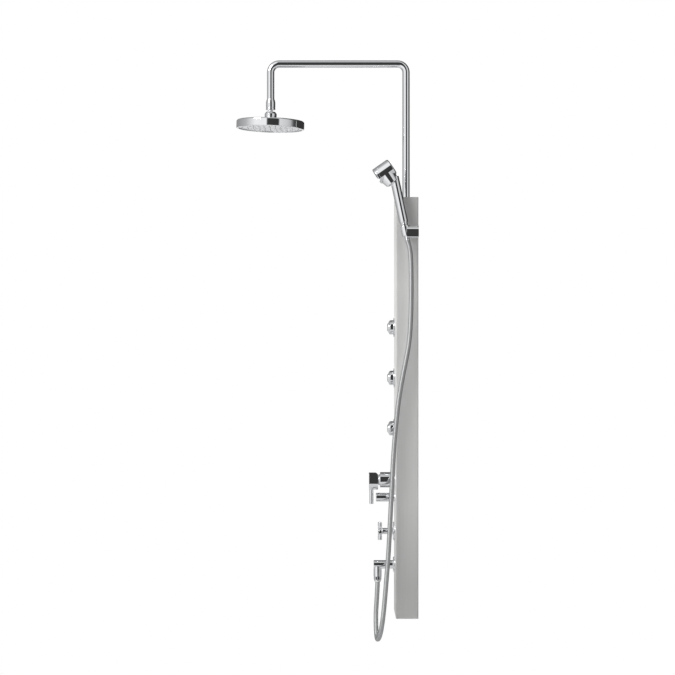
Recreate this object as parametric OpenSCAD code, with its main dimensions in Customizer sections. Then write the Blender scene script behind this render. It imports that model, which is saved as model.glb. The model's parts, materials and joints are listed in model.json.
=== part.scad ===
// Wall-hung shower column: a folded steel panel with an overhead rain head on a gooseneck,
// three ball-jointed body jets, a lever mixer, a diverter knob, a cross-handle valve and a
// hand shower on a hose. Front is -Y, the wall is the plane Y = 0, up is +Z.
// Heights below are measured from the bottom of the panel; at_panel() moves the result so that
// the origin is the centre of the upper wall bracket, on the wall.

/* [Panel] */
// Width of the panel across its front
panel_w = 200; // [190:5:260]
// Height of the panel
panel_h = 1240; // [1235:5:1400]
// Depth of the panel from the wall to its front face
panel_d = 66; // [66:1:80]
// Thickness of the steel sheet
sheet_t = 2; // [1.5:0.5:2.5]
// Outside radius of the folded edges
edge_r = 4; // [3:0.5:6]
// Height of the cap that closes the bottom
bottom_cap_h = 14; // [10:1:20]
// Height of the upper wall bracket, where the origin is
mount_z = 1150; // [1145:5:1155]
// Height of the lower wall bracket
lower_mount_z = 60; // [50:5:70]

/* [Overhead arm] */
// Outside diameter of the gooseneck tube
tube_d = 22; // [20:1:24]
// Distance from the riser to the drop tube
arm_reach = 405; // [350:5:450]
// Height of the arm's centreline
arm_z = 1645; // [1600:5:1800]
// Centreline radius of the two bends
bend_r = 25; // [20:1:40]

/* [Rain head] */
// Diameter of the rain head
head_d = 203; // [180:1:250]
// Height of the rain head's ball centre
ball_z = 1490; // [1460:5:1500]
// How far the rain head's front edge is tipped up
head_tip = 1.9; // [0:0.1:5]

/* [Body jets] */
// Height of the lowest jet
jet_z = 555; // [550:5:600]
// Distance from one jet to the next
jet_step = 151; // [140:1:160]

/* [Controls] */
// Height of the mixer's axis
mixer_z = 401; // [401:1:410]
// Height of the diverter knob's axis
diverter_z = 349; // [345:1:349]
// Height of the cross handle's axis
valve_z = 248; // [240:1:260]
// Height of the hose outlet's axis
outlet_z = 148; // [145:1:150]
// How far the mixer lever hangs below the mixer's axis
lever_l = 72; // [60:1:90]

/* [Hand shower] */
// Forward lean of the hand shower in its cradle
handset_tilt = 12; // [10:0.5:13]
// Length of the handle above the cradle's middle
handle_l = 161; // [150:1:175]
// Diameter of the handle
handle_d = 27; // [26:0.5:28]
// Diameter of the drum-shaped spray head
drum_d = 50; // [48:1:52]
// Length of the spray head
drum_l = 54; // [52:1:58]
// How far the spray points below level
drum_pitch = 35; // [33:0.5:37]
// Diameter of the hose
hose_d = 14; // [12:0.5:14]

/* [Hidden] */
$fn = 64;

// Finishes
chrome = [0.83, 0.84, 0.86];
steel = [0.71, 0.71, 0.70];
zinc = [0.62, 0.64, 0.66];
brass = [0.78, 0.64, 0.34];
rubber = [0.35, 0.35, 0.37];
ivory = [0.88, 0.87, 0.83];

// Panel
cap_t = 3;          // top cap and the floor of the bottom cap
lip_w = 14;         // the sheet turned in along the back edges
fit_gap = 0.2;      // between pieces of one assembly
move_gap = 0.3;     // between pieces that move past each other
plumb_y = -panel_d / 2;     // the riser and the middle of the caps
pipe_y = plumb_y - 6.5;     // plane of the pipework

// Brackets
bracket_w = 150;
bracket_t = 2.5;
slot_gap = 120;     // between the two slots of a bracket
slot_w = 6.5;
slot_l = 16;
hook_y = -12;       // front of a bracket's upturned hook
hook_z = 22;        // underside of the hook, above the bracket's middle

// Gooseneck
tube_r = tube_d / 2;
tube_wall = 1.5;
riser_foot_z = panel_h - 30;
drop_y = plumb_y - arm_reach;
drop_foot_z = ball_z + 26;

// Ball joint of the rain head
ball_r = 12;
stem_r = 5.5;
swivel_nut_r = 18;
swivel_seat_r = 14.6;

// Rain head, heights below the ball's centre
head_r = head_d / 2;
head_top = -14;
head_bottom = -39.5;
face_r = head_r - 6.3;
face_z = -37;       // underside of the face plate
mat_z = -34;        // underside of the nozzle mat
nozzle_rings = 5;
nozzle_step = 17;

// Body jets, distances outward from the panel's face
jet_ball_r = 16;
jet_ball_z = 10.5;
jet_face_z = 23;
jet_seat_r = jet_ball_r + 1.9;
jet_flange_r = 29;
jet_body_r = 20;
port_z = pipe_y + panel_d;  // how far the pipework lies behind the panel's face
pipe_r = 6;
pipe_bend_r = 16;
pipe_x = 45;        // of the riser's supply, and mirrored of the jets' supply

// Mixer, distances outward from the panel's face
barrel_r = 23;
barrel_z = 44.6;
pivot_z = 42;
dome_r = 17;
hub_z0 = 51;
hub_z1 = 78;
hub_r = 23.3;       // half the hub's width; it is square above and round below
hub_top = 20.5;     // the hub's flat top, above the mixer's axis
hub_drop = 6;       // the round part's centre, below the mixer's axis
bar_z = panel_d - 20;       // how far the cross bar of the inlets lies behind the face
bar_r = 12;
inlet_x = 75;       // half of the 150 mm between the hot and cold inlets
inlet_bore_r = 9.3;
inlet_depth = 15;

// Outlet elbow
outlet_r = 12.5;
outlet_reach = 64;
leg_out = 52;
leg_r = 12;
leg_foot_z = 113;
hose_nut_z = 96;

// Hand shower and its holder
holder_x = 130;
holder_y = -39;
holder_z = 1140;
holder_r = 18;      // half the holder's width; it is round above and square below
holder_axis_z = 1136;
cradle_r = 15;
cradle_lo = -15;
cradle_hi = 13;
cone_lo = -30;
cone_hi = 16;
drum_forward = 24.5;        // from the handle's axis to the middle of the spray head
drum_rise = 20;     // from the handle's top to the middle of the spray head
neck_r = drum_d / 2 - 1;

// The hose hangs from the cone nut beside the panel, turns up below it and ends in the hex nut.
hose_lo = cone_lo - 0.3;
hose_top = [holder_x, holder_y - hose_lo * sin(handset_tilt),
            holder_z + hose_lo * cos(handset_tilt)];
hose_end = [0, -panel_d - leg_out, hose_nut_z - 0.3];
hose_route = [
    [130, -26.5, 1085], [130, -23.5, 1050], [130, -22.5, 1000], [130, -22.5, 940], [130, -24, 880],
    [130, -28, 820], [130, -36, 770], [130, -45, 725], [130, -53, 680], [130, -60, 635],
    [130, -66, 580], [130, -71, 525], [130, -75, 470], [130, -78, 410], [130, -81, 350],
    [130, -84, 290], [130, -87, 230], [130, -90, 180], [130, -94, 130], [130, -98, 80],
    [130, -102, 35], [130, -106, 0], [121, -111, -33], [98, -116, -56], [65, -120, -65],
    [32, -122, -56], [9, -123, -33], [0, -123, 0], [0, -121, 35], [0, -119, 70]
];
hose_sides = 10;

// ---- Helpers ----

module at_panel() translate([0, 0, -mount_z]) children();

// A frame on the panel's face: local +Z points outward, local Y is up.
module on_face(z) at_panel() translate([0, -panel_d, z]) rotate([90, 0, 0]) children();

module rod_x(r, x0, x1) translate([x0, 0, 0]) rotate([0, 90, 0]) cylinder(r = r, h = x1 - x0);

module rod_y(r, y0, y1) translate([0, y1, 0]) rotate([90, 0, 0]) cylinder(r = r, h = y1 - y0);

module rod_z(r, z0, z1) translate([0, 0, z0]) cylinder(r = r, h = z1 - z0);

module ring_z(r_out, r_in, z0, z1) difference() {
    rod_z(r_out, z0, z1);
    rod_z(r_in, z0 - 1, z1 + 1);
}

module hex_ring(across_corners, r_in, z0, z1) difference() {
    translate([0, 0, z0]) cylinder(r = across_corners / 2, h = z1 - z0, $fn = 6);
    rod_z(r_in, z0 - 1, z1 + 1);
}

// A quarter of a torus from +X to +Y about the local Z axis
module bend(bend_radius, r) rotate_extrude(angle = 90) translate([bend_radius, 0]) circle(r);

// The part of a ball's shell between two heights
module ball_zone(r_out, r_in, z0, z1) difference() {
    intersection() {
        sphere(r_out);
        rod_z(r_out + 1, z0, z1);
    }
    sphere(r_in);
}

function jet_height(i) = jet_z + (3 - i) * jet_step;

// ---- Panel ----

module rounded_rect(w, d, r) {
    square([w - 2 * r, d], center = true);
    square([w, d - 2 * r], center = true);
    for (x = [-1, 1], y = [-1, 1])
        translate([x * (w / 2 - r), y * (d / 2 - r)]) circle(r);
}

module panel_outline(inset) translate([0, plumb_y])
    rounded_rect(panel_w - 2 * inset, panel_d - 2 * inset, edge_r - min(inset, sheet_t));

module face_hole(z, r) translate([0, 0, z]) rod_y(r, -panel_d - 1, -panel_d + sheet_t + 1);

module panel_shell() color(steel) at_panel() difference() {
    translate([0, 0, bottom_cap_h]) linear_extrude(panel_h - cap_t - bottom_cap_h)
        difference() {
            panel_outline(0);
            panel_outline(sheet_t);
            translate([-panel_w / 2 + lip_w, -sheet_t - 1]) square([panel_w - 2 * lip_w, sheet_t + 2]);
        }
    for (i = [1:3]) face_hole(jet_height(i), jet_body_r + fit_gap);
    face_hole(mixer_z, barrel_r + fit_gap);
    for (z = [diverter_z, valve_z, outlet_z]) face_hole(z, 10.3);
    translate([0, -17, holder_axis_z]) rod_x(2.7, panel_w / 2 - sheet_t - 1, panel_w / 2 + 1);
}

// A skirt that reaches from a cap into the shell
module cap_skirt(h) linear_extrude(h) difference() {
    panel_outline(sheet_t + fit_gap);
    panel_outline(sheet_t + 2);
}

module top_cap() color(steel) at_panel() difference() {
    union() {
        translate([0, 0, panel_h - cap_t]) linear_extrude(cap_t) panel_outline(0);
        translate([0, 0, panel_h - cap_t - 8]) cap_skirt(9);
    }
    translate([0, plumb_y, 0]) rod_z(tube_r + fit_gap, panel_h - cap_t - 1, panel_h + 1);
}

module bottom_cap() color(steel) at_panel() {
    difference() {
        linear_extrude(bottom_cap_h) panel_outline(0);
        translate([0, 0, cap_t]) linear_extrude(bottom_cap_h) panel_outline(sheet_t);
    }
    translate([0, 0, cap_t]) cap_skirt(bottom_cap_h + 5);
}

// ---- Hangers and wall brackets ----

module bracket_slots() for (x = [-1, 1]) translate([x * slot_gap / 2, 0, 0]) {
    for (e = [-1, 1]) translate([e * (slot_l - slot_w) / 2, 0, 0]) rod_y(slot_w / 2, -10, 1);
    translate([-(slot_l - slot_w) / 2, -10, -slot_w / 2]) cube([slot_l - slot_w, 11, slot_w]);
}

// A plate on the wall whose upper edge turns out and up into a hook
module wall_bracket() color(zinc) difference() {
    translate([-bracket_w / 2, 0, 0]) rotate([90, 0, 90]) linear_extrude(bracket_w)
        polygon([[0, -28], [0, hook_z + bracket_t], [hook_y + bracket_t, hook_z + bracket_t],
                 [hook_y + bracket_t, hook_z + 12], [hook_y, hook_z + 12], [hook_y, hook_z],
                 [-bracket_t, hook_z], [-bracket_t, -28]]);
    bracket_slots();
}

// An inverted channel across the shell, whose rear flange drops behind the bracket's hook
module hanger_rail() color(zinc) {
    inner_w = panel_w - 2 * sheet_t;
    back_y = hook_y + bracket_t + 0.5;
    translate([-inner_w / 2, 0, 0]) rotate([90, 0, 90]) linear_extrude(inner_w)
        polygon([[back_y + bracket_t, hook_z + bracket_t], [back_y + bracket_t, hook_z + 16],
                 [hook_y - 10, hook_z + 16], [hook_y - 10, 0], [hook_y - 7.5, 0],
                 [hook_y - 7.5, hook_z + 13.5], [back_y, hook_z + 13.5],
                 [back_y, hook_z + bracket_t]]);
}

module upper_hanger_rail() hanger_rail();

module lower_hanger_rail() at_panel() translate([0, 0, lower_mount_z]) hanger_rail();

module upper_wall_bracket() wall_bracket();

module lower_wall_bracket() at_panel() translate([0, 0, lower_mount_z]) wall_bracket();

// ---- Riser and gooseneck ----

module at_riser() at_panel() translate([0, plumb_y, 0]) children();

module riser_collar() color(chrome) at_riser() ring_z(16, tube_r + 0.1, panel_h, panel_h + 3);

module riser_locknut() color(brass) at_riser()
    hex_ring(40, tube_r + 0.1, panel_h - 16, panel_h - cap_t);

module riser_fitting() color(brass) at_riser() difference() {
    union() {
        rod_z(16, riser_foot_z - 20, panel_h - 16);
        translate([0, pipe_y - plumb_y, riser_foot_z - 12]) rod_x(9, 0, 22);
    }
    rod_z(tube_r + 0.05, riser_foot_z, panel_h);
    rod_z(7, riser_foot_z - 16, riser_foot_z + 1);
    translate([0, pipe_y - plumb_y, riser_foot_z - 12]) rod_x(4, 0, 23);
}

// The gooseneck's solid for a given radius; the riser and the drop tube run past their ends
// by "past" so that the bore cuts cleanly.
module gooseneck_solid(r, past) {
    bend_z = arm_z - bend_r;
    translate([0, plumb_y, 0]) rod_z(r, riser_foot_z - past, bend_z);
    translate([0, plumb_y - bend_r, bend_z]) rotate([90, 0, 90]) bend(bend_r, r);
    translate([0, 0, arm_z]) rod_y(r, drop_y + bend_r, plumb_y - bend_r);
    translate([0, drop_y + bend_r, bend_z]) rotate([90, 0, 90]) rotate([0, 0, 90])
        bend(bend_r, r);
    translate([0, drop_y, 0]) rod_z(r, drop_foot_z - past, bend_z);
}

module gooseneck_pipe() color(chrome) at_panel() difference() {
    gooseneck_solid(tube_r, 0);
    gooseneck_solid(tube_r - tube_wall, 1);
}

// ---- Ball joint and rain head ----

module at_ball() at_panel() translate([0, drop_y, ball_z]) children();

module at_head() at_ball() rotate([-head_tip, 0, 0]) children();

module ball_stem() color(chrome) at_ball() difference() {
    union() {
        sphere(ball_r);
        rod_z(stem_r, 0, 20);
        rod_z(14, 16.5, 40);
        translate([0, 0, 40]) cylinder(r1 = 14, r2 = tube_r + 1, h = 9);
    }
    rod_z(3.5, -ball_r - 1, 27);
    rod_z(tube_r + 0.05, 26, 50);
}

module swivel_ring() color(ivory) at_head()
    ball_zone(swivel_seat_r - move_gap, ball_r + move_gap, 3, 7);

module swivel_nut() color(chrome) at_head() difference() {
    union() {
        rod_z(swivel_nut_r, -8, 6);
        translate([0, 0, 6]) cylinder(r1 = swivel_nut_r, r2 = 13.5, h = 6);
    }
    sphere(swivel_seat_r);
    rod_z(swivel_seat_r, -9, 0);
    rod_z(11, 0, 13);
}

module rain_head_shell() color(chrome) at_head() difference() {
    rotate_extrude() polygon([
        [9, -2.5], [14.4, -2.5], [14.4, -11], [26, head_top + 2], [head_r - 12, head_top],
        [head_r - 3, head_top - 1], [head_r, head_top - 4], [head_r, head_bottom + 2],
        [head_r - 1.5, head_bottom], [face_r + 0.3, head_bottom], [face_r + 0.3, mat_z],
        [face_r - 3, mat_z], [face_r - 3, head_top - 5], [22, head_top - 2], [9, head_top - 2]]);
    sphere(ball_r + 0.8);
}

module ball_gasket() color(rubber) at_head() difference() {
    rod_z(8.9, -12, -8.6);
    rod_z(5, -13, -8);
    sphere(ball_r + move_gap);
}

module nozzle_places() {
    children();
    for (ring = [1:nozzle_rings], i = [0:6 * ring - 1])
        rotate([0, 0, 60 * i / ring]) translate([ring * nozzle_step, 0, 0]) children();
}

module rain_face_plate() color(zinc) at_head() difference() {
    rod_z(face_r, face_z, mat_z);
    nozzle_places() rod_z(2.2, face_z - 1, mat_z + 1);
}

module rain_nozzles() color(rubber) at_head() {
    rod_z(face_r - 3.4, mat_z, mat_z + 1.2);
    nozzle_places() translate([0, 0, face_z - 2])
        cylinder(r1 = 1.1, r2 = 1.8, h = mat_z - face_z + 2.6);
}

// ---- Body jets ----

module jet_flange(i) color(chrome) on_face(jet_height(i)) difference() {
    rotate_extrude() polygon([[0, 0], [jet_flange_r, 0], [jet_flange_r, 4.5], [18.6, 18], [0, 18]]);
    rod_z(jet_body_r + fit_gap, -1, 9);
    translate([0, 0, jet_ball_z]) {
        intersection() {
            sphere(jet_seat_r);
            rod_z(jet_seat_r + 1, -5, 5.7);
        }
        rod_z(15.3, 0, 20);
    }
}

module jet_ring(i) color(ivory) on_face(jet_height(i)) translate([0, 0, jet_ball_z])
    ball_zone(jet_seat_r - move_gap, jet_ball_r + move_gap, -2, 2);

module jet_ball(i) color(chrome) on_face(jet_height(i)) difference() {
    intersection() {
        translate([0, 0, jet_ball_z]) sphere(jet_ball_r);
        rod_z(jet_ball_r + 1, jet_ball_z - jet_ball_r, jet_face_z);
    }
    rod_z(8.6, jet_face_z - 1.2, jet_face_z + 1);
    rod_z(5, jet_ball_z - jet_ball_r - 1, jet_face_z - 4);
    for (a = [0:60:300]) rotate([0, 0, a]) translate([4, 0, 0]) rod_z(0.9, jet_face_z - 5, jet_face_z);
}

module jet_housing(i) color(brass) on_face(jet_height(i)) difference() {
    union() {
        rod_z(jet_body_r, -port_z - 11, jet_ball_z - 2);
        translate([0, 0, -port_z]) rod_x(9, -30, 0);
    }
    translate([0, 0, jet_ball_z]) sphere(jet_seat_r);
    rod_z(12, -port_z - 5, jet_ball_z);
    translate([0, 0, -port_z]) rod_x(4, -31, 0);
}

module jet_locknuts() color(brass) for (i = [1:3]) on_face(jet_height(i))
    hex_ring(52, jet_body_r + 0.1, -sheet_t - 6, -sheet_t);

module jet_flange_1() jet_flange(1);
module jet_flange_2() jet_flange(2);
module jet_flange_3() jet_flange(3);
module jet_ring_1() jet_ring(1);
module jet_ring_2() jet_ring(2);
module jet_ring_3() jet_ring(3);
module jet_ball_1() jet_ball(1);
module jet_ball_2() jet_ball(2);
module jet_ball_3() jet_ball(3);
module jet_housing_1() jet_housing(1);
module jet_housing_2() jet_housing(2);
module jet_housing_3() jet_housing(3);

// ---- Mixer ----

module mixer_body() color(brass) on_face(mixer_z) difference() {
    union() {
        rod_z(barrel_r, -bar_z - 14, barrel_z);
        translate([0, 0, -bar_z]) rod_x(bar_r, -inlet_x - 15, inlet_x + 15);
        translate([0, 0, -port_z]) rotate([90, 0, 0]) rod_z(8, 0, 25);
        for (x = [-inlet_x, inlet_x]) translate([x, 0, 0]) rod_z(bar_r + 0.5, 4 - panel_d, -bar_z);
    }
    rod_z(17.8, 4, barrel_z + 1);
    rod_z(20.8, 36, barrel_z + 1);
    for (x = [-inlet_x, inlet_x]) translate([x, 0, 0]) {
        rod_z(inlet_bore_r, 3 - panel_d, 4 - panel_d + inlet_depth);
        rod_z(5, 3 - panel_d, -bar_z);
    }
    translate([0, 0, -bar_z]) {
        rod_x(6, -inlet_x - 8, -9);
        rod_x(6, 9, inlet_x + 8);
    }
    for (x = [-12, 12]) translate([x, 0, 0]) rod_z(2.5, -bar_z, 5);
    translate([0, 0, -port_z]) rotate([90, 0, 0]) rod_z(4, -2, 26);
    rod_z(3, -port_z, 5);
}

module mixer_locknut() color(brass) on_face(mixer_z)
    hex_ring(58, barrel_r + 0.1, -sheet_t - 7, -sheet_t);

module mixer_cartridge() color(ivory) on_face(mixer_z) difference() {
    union() {
        rod_z(17.5, 4, 36);
        rod_z(15, 36, 41);
    }
    rod_z(11 + move_gap, 28.5, 42);
}

module cartridge_nut() color(brass) on_face(mixer_z) ring_z(20.5, 15.2, 36, 41.5);

module mixer_dome() color(chrome) on_face(mixer_z) difference() {
    union() {
        rod_z(20.5, 41.5, 43);
        intersection() {
            translate([0, 0, pivot_z]) sphere(dome_r);
            rod_z(dome_r + 1, 42, pivot_z + dome_r);
        }
    }
    translate([0, 0, pivot_z]) sphere(dome_r - 1.5);
    rod_z(8.5, 40, 62);
}

module cartridge_carrier() color(ivory) on_face(mixer_z) difference() {
    rod_z(11, 29, pivot_z + 3);
    rod_z(7, 30.5, pivot_z + 4);
    translate([0, 0, pivot_z]) rod_x(1.55, -12, 12);
}

module mixer_stem() color(brass) on_face(mixer_z) {
    rod_z(4, 33, 62);
    translate([0, 0, pivot_z]) rod_x(1.5, -10.5, 10.5);
}

module mixer_handle() color(chrome) on_face(mixer_z) difference() {
    union() {
        translate([0, 0, hub_z0]) linear_extrude(hub_z1 - hub_z0) {
            translate([0, -hub_drop]) circle(hub_r);
            translate([-hub_r, -hub_drop]) square([2 * hub_r, hub_top + hub_drop]);
        }
        translate([0, 0, hub_z1 - 7.5]) rotate([90, 0, 0]) {
            rod_z(6, 10, lever_l - 1);
            translate([0, 0, lever_l - 1]) cylinder(r1 = 6, r2 = 5.2, h = 1);
        }
    }
    // the bevel on the top edge at the back of the hub
    translate([-hub_r - 1, 0, 0]) rotate([90, 0, 90]) linear_extrude(2 * hub_r + 2)
        polygon([[hub_top + 1, hub_z0 + 7.2], [hub_top - 5.7, hub_z0 - 1],
                 [hub_top + 1, hub_z0 - 1]]);
    translate([0, 0, pivot_z]) sphere(dome_r + 0.4);
    rod_z(4.02, 50, 62);
}

// ---- Diverter and volume valve ----

// A brass valve body behind the panel with a threaded neck through it; "ports" are the
// directions of its pipe stubs as angles from +X.
module valve_shape(r, ports) difference() {
    union() {
        rod_z(r, -port_z - 11, -sheet_t);
        rod_z(10, -sheet_t, 9);
        for (a = ports) translate([0, 0, -port_z]) rotate([0, 0, a]) rod_x(8, 0, r + 4);
    }
    rod_z(5 + move_gap, -port_z, 10);
    rod_z(12 + move_gap, -port_z - 7, -port_z + 7);
    for (a = ports) translate([0, 0, -port_z]) rotate([0, 0, a]) rod_x(4, 10, r + 5);
}

// A spindle with the rotor disc that opens and shuts the ports
module spindle_shape(z1) {
    rod_z(5, -port_z, z1);
    rod_z(12, -port_z - 6, -port_z + 6);
}

module diverter_body() color(brass) on_face(diverter_z) valve_shape(18, [0, 90, 180, 270]);

module diverter_collar() color(chrome) on_face(diverter_z) ring_z(13, 10.1, 0, 26);

module diverter_spindle() color(zinc) on_face(diverter_z) spindle_shape(42);

module diverter_knob() color(chrome) on_face(diverter_z) difference() {
    rotate_extrude() polygon([[0, 26.5], [12.5, 26.5], [13, 27], [13, 56], [12, 57], [0, 57]]);
    rod_z(5.02, 20, 42);
}

module valve_body() color(brass) on_face(valve_z) valve_shape(16, [90, 270]);

module valve_escutcheon() color(chrome) on_face(valve_z) rotate_extrude()
    polygon([[10.1, 0], [28, 0], [28, 3], [25, 6.5], [10.1, 8]]);

module valve_spindle() color(zinc) on_face(valve_z) spindle_shape(40);

module cross_handle() color(chrome) on_face(valve_z) difference() {
    union() {
        rod_z(9, 10, 39);
        rod_z(10.5, 39, 50);
        translate([0, 0, 50]) cylinder(r1 = 10.5, r2 = 9.5, h = 1);
        translate([0, 0, 45]) for (a = [0:90:270]) rotate([0, 0, a]) {
            rod_x(6.2, 0, 25.5);
            translate([25.5, 0, 0]) rotate([0, 90, 0]) cylinder(r1 = 6.2, r2 = 5.2, h = 1);
        }
    }
    rod_z(5.02, 9, 40);
}

// ---- Hose outlet ----

module outlet_elbow() color(chrome) on_face(outlet_z) difference() {
    drop = outlet_z - leg_foot_z;
    union() {
        rod_z(10, -port_z - 11, 0);
        rod_z(outlet_r, 0, outlet_reach - 1);
        translate([0, 0, outlet_reach - 1]) cylinder(r1 = outlet_r, r2 = outlet_r - 1, h = 1);
        translate([0, 0, -port_z]) rotate([-90, 0, 0]) rod_z(8, 0, 14);
        translate([0, 0, leg_out]) rotate([90, 0, 0]) {
            rod_z(leg_r, 0, drop);
            rod_z(10.2, drop, drop + 11);
        }
    }
    rod_z(7, -port_z - 7, leg_out + 7);
    translate([0, 0, -port_z]) rotate([-90, 0, 0]) rod_z(4, 0, 15);
    translate([0, 0, leg_out]) rotate([90, 0, 0]) rod_z(7, 0, drop + 12);
}

module outlet_escutcheon() color(chrome) on_face(outlet_z) rotate_extrude()
    polygon([[outlet_r + 0.1, 0], [24.5, 0], [24.5, 2.5], [21, 6], [outlet_r + 0.1, 7]]);

// ---- Pipework inside the panel ----

// A pipe from a valve's side port at height z0, round a bend and up to z1; side is 1 or -1
module supply_run(side, z0, z1) translate([0, pipe_y, 0]) {
    mirror([side < 0 ? 1 : 0, 0, 0]) {
        translate([0, 0, z0]) rod_x(pipe_r, 22, pipe_x - pipe_bend_r);
        translate([pipe_x - pipe_bend_r, 0, z0 + pipe_bend_r]) rotate([90, 0, 0])
            rotate([0, 0, -90]) bend(pipe_bend_r, pipe_r);
        translate([pipe_x, 0, 0]) rod_z(pipe_r, z0 + pipe_bend_r, z1);
    }
}

module riser_supply_pipe() color(brass) at_panel() {
    top_z = riser_foot_z - 12;
    supply_run(1, diverter_z, top_z - pipe_bend_r);
    translate([pipe_x - pipe_bend_r, pipe_y, top_z - pipe_bend_r]) rotate([90, 0, 0])
        bend(pipe_bend_r, pipe_r);
    translate([0, pipe_y, top_z]) rod_x(pipe_r, 22, pipe_x - pipe_bend_r);
}

module jets_supply_pipe() color(brass) at_panel() {
    supply_run(-1, diverter_z, jet_height(1) + pipe_r);
    for (i = [1:3]) translate([0, pipe_y, jet_height(i)]) rod_x(pipe_r, -pipe_x, -30);
}

// Straight nipples: mixer to diverter, diverter to volume valve, volume valve to outlet
module link_pipes() color(brass) at_panel() translate([0, pipe_y, 0]) {
    rod_z(pipe_r, diverter_z + 22, mixer_z - 25);
    rod_z(pipe_r, valve_z + 20, diverter_z - 22);
    rod_z(pipe_r, outlet_z + 14, valve_z - 20);
}

// ---- Hand shower holder ----

// The hand shower's own frame: its axis is local +Z and the cradle's middle is the origin.
module on_handle() at_panel() translate([holder_x, holder_y, holder_z])
    rotate([handset_tilt, 0, 0]) children();

module holder_outline() {
    circle(holder_r);
    translate([-holder_r, 5 - holder_r]) square([2 * holder_r, holder_r - 5]);
    translate([5 - holder_r, -holder_r]) square([2 * holder_r - 10, holder_r]);
    for (x = [-1, 1]) translate([x * (holder_r - 5), 5 - holder_r]) circle(5);
}

module holder_body() color(chrome) difference() {
    at_panel() translate([0, 0, holder_axis_z]) {
        translate([holder_x, -1, 0]) rotate([90, 0, 0]) linear_extrude(35) holder_outline();
        translate([0, -17, 0]) rod_x(10, panel_w / 2, holder_x);
    }
    on_handle() rod_z(cradle_r, -40, 40);
    at_panel() translate([0, -17, holder_axis_z]) rod_x(2.6, panel_w / 2 - 1, panel_w / 2 + 16);
}

// Radius of the hose's cone nut at a height in the hand shower's frame
function cone_r(z) = 10 + 0.085 * z;

module holder_cradle() color(chrome) on_handle() difference() {
    rod_z(cradle_r, cradle_lo, cradle_hi);
    translate([0, 0, cradle_lo - 1])
        cylinder(r1 = cone_r(cradle_lo - 1) + 0.4, r2 = cone_r(cradle_hi + 1) + 0.4,
                 h = cradle_hi - cradle_lo + 2);
    translate([-8, -cradle_r - 1, cradle_lo - 1]) cube([16, cradle_r + 1, cradle_hi - cradle_lo + 2]);
}

// ---- Hose ----

module hose_cone_nut() color(chrome) on_handle() difference() {
    translate([0, 0, cone_lo])
        cylinder(r1 = cone_r(cone_lo), r2 = cone_r(cone_hi), h = cone_hi - cone_lo);
    rod_z(8.2, 4, cone_hi + 1);
    rod_z(5, cone_lo + 5, 5);
}

module hose_hex_nut() color(chrome) at_panel() translate([0, -panel_d - leg_out, 0]) difference() {
    rotate_extrude() polygon([[0, hose_nut_z], [8.5, hose_nut_z], [11.5, hose_nut_z + 7],
                              [11.5, leg_foot_z], [0, leg_foot_z]]);
    rod_z(10.3, leg_foot_z - 12, leg_foot_z + 1);
    rod_z(5, hose_nut_z + 2, leg_foot_z);
}

hose_points = concat([hose_top], hose_route, [hose_end]);
hose_last = len(hose_points) - 1;

function unit(v) = v / norm(v);

function hose_dir(i) =
    i == 0 ? [0, sin(handset_tilt), -cos(handset_tilt)] :
    i == hose_last ? [0, 0, 1] :
    unit(hose_points[i + 1] - hose_points[i - 1]);

// One ring of the hose's surface, square to its direction
function hose_ring(i) =
    let (d = hose_dir(i), side = unit(cross(d, [0, 1, 0])), up = cross(side, d))
    [for (k = [0:hose_sides - 1])
        hose_points[i] + hose_d / 2 * (cos(360 * k / hose_sides) * side
                                       + sin(360 * k / hose_sides) * up)];

module hose() color(chrome) at_panel() {
    n = hose_sides;
    polyhedron(
        points = [for (i = [0:hose_last], p = hose_ring(i)) p],
        faces = concat(
            [[for (k = [0:n - 1]) k]],
            [for (i = [0:hose_last - 1], k = [0:n - 1])
                [i * n + k, (i + 1) * n + k, (i + 1) * n + (k + 1) % n, i * n + (k + 1) % n]],
            [[for (k = [n - 1:-1:0]) hose_last * n + k]]));
}

// ---- Hand shower ----

// The spray head's own frame: its axis is local +Z, which is where the spray goes.
module on_drum() on_handle() translate([0, -drum_forward, handle_l + drum_rise])
    rotate([90 + drum_pitch - handset_tilt, 0, 0]) children();

module handset_handle() color(chrome) difference() {
    union() {
        on_handle() rotate_extrude() polygon([
            [0, 6], [7.9, 6], [7.9, 17], [11, 17], [handle_d / 2, 26],
            [handle_d / 2, handle_l - 1.5], [handle_d / 2 - 1.5, handle_l], [0, handle_l]]);
        on_drum() rotate([90, 0, 0]) translate([0, 0, 5]) {
            cylinder(r1 = neck_r, r2 = neck_r - 4, h = 35);
            translate([0, 0, 35]) cylinder(r1 = neck_r - 4, r2 = neck_r - 7, h = 3);
        }
    }
    on_drum() rod_z(drum_d / 2 + 0.05, -60, 60);
    on_handle() {
        rod_z(5.5, 5, handle_l - 12);
        translate([0, 0, handle_l - 15]) rod_y(4.5, -15, 0);
    }
    on_drum() rotate([90, 0, 0]) rod_z(7, 20, 38);
}

module handset_head() color(chrome) on_drum() difference() {
    rotate_extrude() polygon([
        [0, -drum_l / 2], [drum_d / 2 - 2.5, -drum_l / 2], [drum_d / 2, -drum_l / 2 + 2.5],
        [drum_d / 2, drum_l / 2 - 1.5], [drum_d / 2 - 1.2, drum_l / 2], [22.6, drum_l / 2],
        [22.6, drum_l / 2 - 5], [21, drum_l / 2 - 5], [21, -drum_l / 2 + 3], [0, -drum_l / 2 + 3]]);
    rotate([90, 0, 0]) rod_z(7, 15, 30);
}

module handset_face() color(rubber) on_drum() {
    rod_z(22.4, drum_l / 2 - 5, drum_l / 2 - 2);
    for (ring = [1:3], i = [0:6 * ring - 1])
        rotate([0, 0, 60 * i / ring]) translate([ring * 6, 0, drum_l / 2 - 2.5])
            cylinder(r1 = 1.2, r2 = 0.8, h = 2.3);
}

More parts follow.
